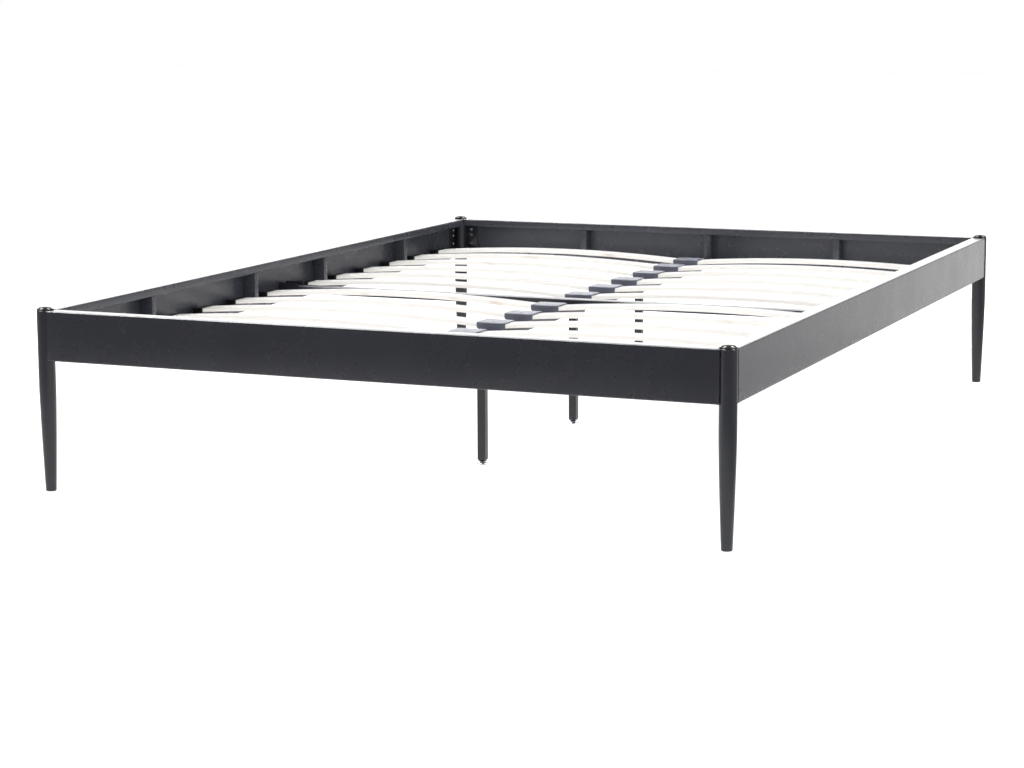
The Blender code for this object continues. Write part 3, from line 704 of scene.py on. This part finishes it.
# %% [markdown]
# ## Holders and end sleeves
#
# Along the beam, one moulding holds the inner ends of two slats. It is a tube of rounded-rectangle
# section whose underside dips to the beam, with a pocket from each side and a small clip in its top.
# Every ring, outside or in the pocket, has the same number of points, so the moulding is one skin that
# goes in, out and in again. At the rails each slat wears a small black sleeve that sits on the rail's
# bottom tube.

# %% Slat holders
HOLDER_WALL = 0.003              # beside the slat
HOLDER_LID = 0.002               # above and below it
HOLDER_TAPER = 0.020             # where the ends begin to narrow
SLAT_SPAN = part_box("right_slat_01")[1].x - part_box("right_slat_01")[0].x
POCKET_END = 0.0035
BASE_HALF = 0.014


def ring_at(x, half_width, low, high, corner, steps=5):
    outline = rounded(rectangle((-half_width, low), (half_width, high)), corner, steps)
    return np.column_stack([np.full(len(outline), x), outline])


def holder_shape(node):
    """Outside: a flat top, ends that taper in, and an underside flat for 14 mm that then rises with the
    slats. Inside: a pocket from each end that follows its slat."""
    low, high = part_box(node)
    centre = (low + high) / 2
    far, half_width, height = (high.x - low.x) / 2, (high.y - low.y) / 2, high.z - low.z
    mid = SLAT_END_TOP - SLAT_THICK / 2 - low.z
    slope = 4 * SLAT_RISE / (SLAT_SPAN + far)
    pocket = SLAT_THICK / 2 + 2 * FIT

    def middle_z(x):
        return mid + slope * abs(x)

    def under(x):
        share = max(0.0, (abs(x) - BASE_HALF) / (far - BASE_HALF))
        return share * (middle_z(far) - pocket - HOLDER_LID)

    def outside(x, inset=0.0):
        taper = 0.0024 * max(0.0, (abs(x) - HOLDER_TAPER) / (far - HOLDER_TAPER)) ** 2
        return ring_at(x, half_width - inset - taper, under(x) + inset, height - inset, 0.0021)

    def inside(x, inset=0.0):
        return ring_at(x, half_width - HOLDER_WALL + inset - 0.0001, middle_z(x) - pocket - inset,
                       min(middle_z(x) + pocket + inset, height - 0.0009), 0.0012)

    outer_x = [-far + 0.0008, -far + 0.003, -far + 0.007, -0.022, -BASE_HALF, -0.008, -0.002, 0.002, 0.008,
               BASE_HALF, 0.022, far - 0.007, far - 0.003, far - 0.0008]
    rings = [inside(-POCKET_END), inside(-far + 0.0006), inside(-far, 0.0004), outside(-far, 0.0008)]
    rings += [outside(x) for x in outer_x]
    rings += [outside(far, 0.0008), inside(far, 0.0004), inside(far - 0.0006), inside(POCKET_END)]
    return moved(skin(rings), (centre.x, centre.y, low.z))


def clip_mark(node):
    """A three-cornered clip pressed in at the middle of the holder's top, 0.2 mm proud."""
    low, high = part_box(node)
    outline = rounded([(-0.0045, -0.0035), (0.0045, -0.0035), (0.0, 0.0045)], 0.0008, 4)
    rings = [np.column_stack([outline * grow, np.full(len(outline), high.z + up)])
             for grow, up in ((1.0, -0.0010), (1.0, -0.0002), (0.85, 0.0))]
    return moved(skin(rings), ((low.x + high.x) / 2, (low.y + high.y) / 2 - 0.008, 0))


holder_nodes = sorted(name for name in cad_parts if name.startswith("slat_holder"))
for node in holder_nodes:
    piece(node + "_moulding", holder_shape(node), holder_plastic, stands_for=[node],
          sharp=50)
    piece(node + "_clip", clip_mark(node), black_plastic)
print("holders:", len(holder_nodes))

# %% End sleeves
SLEEVE_LENGTH = 0.0245
SLEEVE_WALL = 0.0024
SLEEVE_END = 0.0020              # the closed end stands this far past the slat


def sleeve_shape(slat_node, side):
    """A closed cap over the slat's outer end: outer skin, lip, then the pocket down to its floor."""
    low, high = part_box(slat_node)
    rail_foot_top = rail_low.z + FOOT_HEIGHT + FIT
    end_x = high.x if side > 0 else low.x
    top = low.z + SLAT_THICK + 0.0022
    half = (high.y - low.y) / 2
    centre_y = (low.y + high.y) / 2
    x_out = end_x + side * SLEEVE_END
    x_in = x_out - side * SLEEVE_LENGTH
    slope = 4 * SLAT_RISE / (high.x - low.x)

    def outer(x, inset=0.0):
        lift = max(abs(end_x - x) * slope, 0)
        return ring_at(x, half + SLEEVE_WALL - inset, rail_foot_top + inset, top + lift - inset, 0.002)

    def pocket(x, inset=0.0):
        lift = abs(end_x - x) * slope
        return ring_at(x, half + 0.0003 + inset, low.z - 0.0002 + lift - inset,
                       low.z + SLAT_THICK + 0.0002 + lift + inset, 0.002)

    rings = [outer(x_out, 0.0012), outer(x_out - side * 0.0004, 0.0004), outer(x_out - side * 0.0014),
             outer((x_out + x_in) / 2), outer(x_in + side * 0.0006), outer(x_in, 0.0005),
             pocket(x_in, 0.0005), pocket(x_in + side * 0.0008), pocket(end_x + side * 0.0002)]
    return moved(skin(rings), (0, centre_y, 0))


for node in slat_nodes:
    side = 1 if node.startswith("right") else -1
    piece(node.replace("slat", "end_sleeve"), sleeve_shape(node, side), black_plastic,
          sharp=50)
print("sleeves:", len(slat_nodes))

# %% [markdown]
# ## Centre legs and adjustable feet
#
# Three square tubes stand under the beam, each with a plate welded on top and a black insert pressed
# into its end. The foot is a zinc plated glide on a threaded stem: turning it winds the disc up or down.
# The stem's thread is a helix of 1.25 mm pitch, its radius a ripple of angle and height.

# %% Centre legs, inserts and feet
def centre_leg_shape(node):
    """Square tube up to a rounded plate that lies against the beam."""
    low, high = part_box(node)
    centre = (low + high) / 2
    half, plate = 0.009, 0.003
    square = rounded(rectangle((-half, -half), (half, half)), 0.0022, 6)
    bore = rounded(rectangle((-half + 0.0015, -half + 0.0015), (half - 0.0015, half - 0.0015)), 0.0008, 6)
    levels = [(square, low.z), (square, low.z + 0.08), (square, high.z - 0.08), (square, high.z - plate),
              (bore, high.z - plate), (bore, low.z)]
    tube = skin([np.column_stack([outline, np.full(len(outline), z)]) for outline, z in levels] +
                [np.column_stack([square, np.full(len(square), low.z)])], ends=False)
    half_x, half_y = (high.x - low.x) / 2, (high.y - low.y) / 2
    rings = []
    for z, inset in ((high.z - plate, 0.0004), (high.z - plate + 0.0004, 0), (high.z - 0.0004, 0),
                     (high.z, 0.0004)):
        edges = rectangle((-half_x + inset, -half_y + inset), (half_x - inset, half_y - inset))
        outline = rounded(edges, 0.005)
        rings.append(np.column_stack([outline, np.full(len(outline), z)]))
    weld = []
    for z, grow in ((high.z - plate - 0.0032, 0.0002), (high.z - plate - 0.0010, 0.0012),
                    (high.z - plate, 0.0030)):
        outline = rounded(rectangle((-half - grow, -half - grow), (half + grow, half + grow)), 0.003, 6)
        weld.append(np.column_stack([outline, np.full(len(outline), z)]))
    return moved(together(tube, skin(rings), skin(weld)), (centre.x, centre.y, 0))


def insert_shape(node):
    """Pressed-in end plug: a rim as wide as the tube, tapering down to a collar around the stem."""
    low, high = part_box(node)
    centre = (low + high) / 2
    rings = []
    for z, half, corner in ((low.z + 0.010, 0.0073, 0.0010), (low.z + 0.0001, 0.0073, 0.0010),
                            (low.z - 0.0001, 0.0088, 0.0022), (low.z - 0.0016, 0.0088, 0.0022),
                            (low.z - 0.0026, 0.0080, 0.0025), (low.z - 0.0052, 0.0070, 0.0032),
                            (low.z - 0.0056, 0.0064, 0.0032)):
        outline = rounded(rectangle((-half, -half), (half, half)), corner, 6)
        rings.append(np.column_stack([outline, np.full(len(outline), z)]))
    return moved(skin(rings), (centre.x, centre.y, 0))


def foot_shape(node):
    """Disc with a rolled edge, a hexagon-like neck, and the threaded stem up into the leg."""
    low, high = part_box(node)
    centre = (low + high) / 2
    disc = 0.0125
    roll = np.linspace(-math.pi / 2, math.pi / 2, 9)
    edge = np.column_stack([disc - 0.0016 + 0.0016 * np.cos(roll), 0.0016 + 0.0016 * np.sin(roll)])
    glide = np.concatenate([[(0, 0.0004), (0.0060, 0.0004), (0.0066, 0.0)], edge,
                            [(0.0068, 0.0036), (0.0058, 0.0042), (0.0056, 0.0054), (0.0038, 0.0056)]])
    sides, pitch = 28, 0.00125
    height = np.linspace(0.0056, high.z - low.z - 0.0008, 200)[:, None]
    angle = np.linspace(0, 2 * math.pi, sides, endpoint=False)[None, :]
    ripple = 0.00024 * (np.abs(((height / pitch - angle / (2 * math.pi)) % 1) * 2 - 1) - 1)
    radius = 0.0040 + ripple * 2
    thread = np.stack([radius * np.cos(angle), radius * np.sin(angle), height + 0 * angle], axis=-1)
    tip = np.stack([0.0028 * np.cos(angle), 0.0028 * np.sin(angle), high.z - low.z + 0 * angle], axis=-1)
    stem = skin(np.concatenate([thread, tip]))
    return moved(together(turned(glide, 48), stem), (centre.x, centre.y, low.z))


for which in ("front", "middle", "back"):
    piece(which + "_square_leg", centre_leg_shape(which + "_centre_leg"), leg_coat,
          stands_for=[which + "_centre_leg"])
    piece(which + "_leg_insert", insert_shape(which + "_centre_leg"), black_plastic)
    piece(which + "_threaded_glide", foot_shape(which + "_adjustable_foot"), foot_zinc,
          body=which + "_foot", stands_for=[which + "_adjustable_foot"], sharp=60)
print("centre legs: 3, each with an insert and a threaded foot")

# %% [markdown]
# ## Floor, light and camera
#
# The studio is a bright white cove. The floor is a pale translucent sheet lit from beneath as well as
# above, as a product table is, so it stays white under the bed. The light is plain and even; what differs
# is what the satin steel mirrors. Beyond the head end stands a bright wall, met at a low angle by the tops
# of the rails, so they shine, while the front faces mirror the dim end of the room and stay dark.

# %% Floor, lights and world
def floor_sheet(name, low, high, level, tone_pair, glow):
    """A flat grid of quads; its glow stands for the lamps underneath it."""
    x, y = np.meshgrid(np.linspace(low[0], high[0], 9), np.linspace(low[1], high[1], 9), indexing="ij")
    grid = np.stack([x, y, np.full_like(x, level)], axis=-1)
    points, faces = skin(grid, closed_round=False, ends=False)
    mesh = bpy.data.meshes.new(name)
    mesh.from_pydata(points, [], faces)
    finish, tree, shader, place = new_finish(name + "_finish")
    cloud = add(tree, "ShaderNodeTexNoise", None, {"Scale": 1 / (400 * MM), "Detail": 2.0}, {"Vector": place})
    tone = ramp(tree, cloud.outputs["Fac"], [(0.2, paint(tone_pair[0])), (0.8, paint(tone_pair[1]))])
    tree.links.new(tone, shader.inputs["Base Color"])
    shader.inputs["Roughness"].default_value = 0.9
    shader.inputs["Emission Color"].default_value = (1, 1, 1, 1)
    shader.inputs["Emission Strength"].default_value = glow
    mesh.materials.append(finish)
    sheet = bpy.data.objects.new(name, mesh)
    bpy.context.scene.collection.objects.link(sheet)
    return sheet


floor = floor_sheet("studio_floor", (-20, -20), (20, 20), -0.0006, ("#f4f4f4", "#f8f8f8"), 0.55)
# the steel mirrors only the lit table the bed stands on, not the dim studio round it
floor.visible_glossy = False
table = floor_sheet("light_table", (-1.70, -1.95), (1.12, 1.60), -0.0003, ("#8f8f8f", "#939393"), 0.90)
print("floor and light table:", floor.name, table.name)


def soft_light(name, where, towards, size, power):
    data = bpy.data.lights.new(name, "AREA")
    data.shape = "RECTANGLE"
    data.size, data.size_y = size
    data.energy = power
    light = bpy.data.objects.new(name, data)
    light.location = where
    light.rotation_euler = (Vector(towards) - Vector(where)).to_track_quat("-Z", "Y").to_euler()
    bpy.context.scene.collection.objects.link(light)
    return light


world = bpy.data.worlds.new("white_cove")
bpy.context.scene.world = world
world.use_nodes = True
sky = world.node_tree
backdrop = sky.nodes["Background"]
ray = add(sky, "ShaderNodeTexCoord").outputs["Generated"]


def along_ray(direction, stops):
    """A ramp over how far a ray leans towards a direction, from -1, straight away, to 1."""
    lean = add(sky, "ShaderNodeVectorMath", {"operation": "DOT_PRODUCT"}, {1: direction}, {0: ray})
    share = add(sky, "ShaderNodeMapRange", None, {"From Min": -1.0, "From Max": 1.0},
                {"Value": lean.outputs["Value"]})
    return ramp(sky, share.outputs["Result"], [(where, (level, level, level, 1)) for where, level in stops])


def sky_mix(low, high, share):
    return add(sky, "ShaderNodeMix", {"data_type": "RGBA"}, None,
               {"A": low, "B": high, "Factor": share}).outputs["Result"]


# what the steel mirrors: dim in front and along the table, a tall bright wall beyond the head end
low_walls = along_ray((0.0, 1.0, 0.0), [(0.0, 0.15), (0.5, 0.60), (0.90, 0.45), (0.968, 0.50), (0.98, 1.20),
                                        (0.987, 1.9), (1.0, 3.0)])
high_walls = along_ray((-0.40, 0.90, 0.18), [(0.0, 0.40), (0.5, 0.65), (0.90, 0.50), (0.955, 1.5),
                                             (0.98, 3.0), (1.0, 3.4)])
above = along_ray((0.0, 0.0, 1.0), [(0.490, 0.0), (0.525, 1.0)])
mirrored = sky_mix(low_walls, high_walls, above)
# two small, strong softboxes overhead, for the glints on the caps' beaded rims
SOFTBOX_LEVEL = 45.0
for softbox in ((0.41, 0.31, 0.86), (-0.51, -0.08, 0.86)):
    box = along_ray(softbox, [(0.985, 0.0), (0.990, SOFTBOX_LEVEL)])
    mirrored = add(sky, "ShaderNodeMix", {"data_type": "RGBA", "blend_type": "ADD", "clamp_result": False},
                   {"Factor": 1.0}, {"A": mirrored, "B": box}).outputs["Result"]
kind = add(sky, "ShaderNodeLightPath")
even = add(sky, "ShaderNodeRGB")
even.outputs[0].default_value = (1, 1, 1, 1)
tone = sky_mix(even.outputs[0], mirrored, kind.outputs["Is Glossy Ray"])
sky.links.new(tone, backdrop.inputs["Color"])
backdrop.inputs["Strength"].default_value = 1.0
lamp = soft_light("front_softbox", (1.0, -5.6, 2.1), (0, -0.2, 0.3), (4.0, 2.0), 34)
lamp.visible_glossy = False
bpy.context.scene.view_settings.view_transform = "Standard"

# %% Camera
CAMERA_PLACE = (2.0836, -5.2150, 1.0286)
YAW, PITCH, ROLL = 23.044, 9.318, -0.264         # degrees: to the left of +Y, down, and tilt
LENS = 87.44


def aimed_camera():
    """Columns of the turn: right, up and back, from yaw, pitch and roll."""
    yaw, pitch, roll = (math.radians(a) for a in (YAW, PITCH, ROLL))
    right = Vector((math.cos(yaw), math.sin(yaw), 0))
    ahead = Vector((-math.sin(yaw) * math.cos(pitch), math.cos(yaw) * math.cos(pitch), -math.sin(pitch)))
    down = ahead.cross(right)
    right_rolled = right * math.cos(roll) - down * math.sin(roll)
    down_rolled = right * math.sin(roll) + down * math.cos(roll)
    turn = Matrix((right_rolled, -down_rolled, -ahead)).transposed()
    data = bpy.data.cameras.new("studio_camera")
    data.lens = LENS
    data.sensor_width = 36.0
    data.sensor_fit = "HORIZONTAL"
    data.clip_end = 100
    camera = bpy.data.objects.new("studio_camera", data)
    camera.matrix_world = Matrix.Translation(CAMERA_PLACE) @ turn.to_4x4()
    bpy.context.scene.collection.objects.link(camera)
    return camera


bpy.context.scene.camera = aimed_camera()
